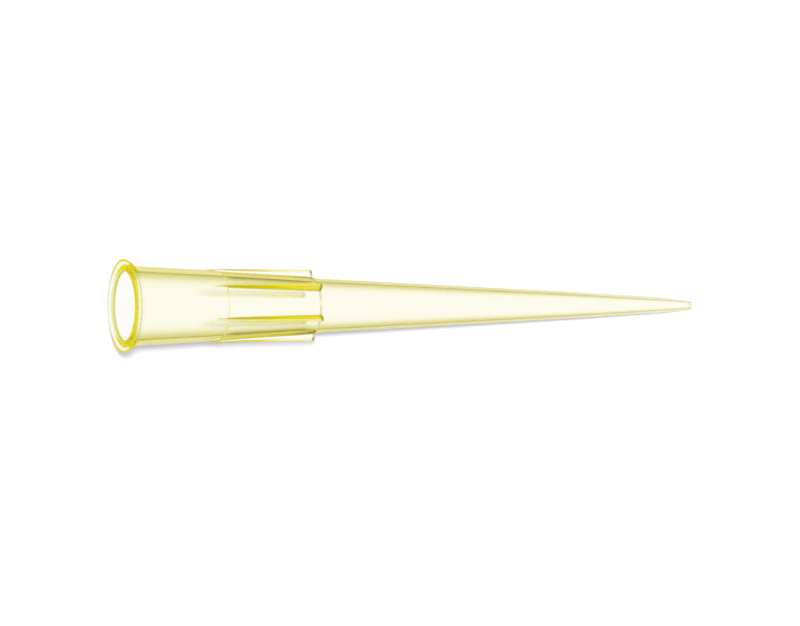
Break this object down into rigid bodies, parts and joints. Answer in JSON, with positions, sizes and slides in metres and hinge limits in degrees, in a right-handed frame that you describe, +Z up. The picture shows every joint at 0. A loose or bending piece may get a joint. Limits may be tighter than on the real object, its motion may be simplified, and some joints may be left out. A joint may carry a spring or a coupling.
{
  "type": "pipette tip",
  "caption": "Slender ribbed pipette tip in clear yellow plastic: a flanged, tapered tube narrowing to a fine bevelled point.",
  "frame": {"origin": "under the middle of the tip as it lies, on the surface it rests on", "axes": "+X along the tip towards its point, which dips 3.9 degrees below the horizontal as it lies; +Z up; +Y to the side"},
  "size_m": [0.051, 0.0078, 0.0078],
  "materials": {
    "clear_yellow_polypropylene": "clear yellow moulded polypropylene, smooth and glossy, faintly hazy"
  },
  "bodies": {
    "root": {"pipette_tip": "clear_yellow_polypropylene"}
  },
  "joints": []
}
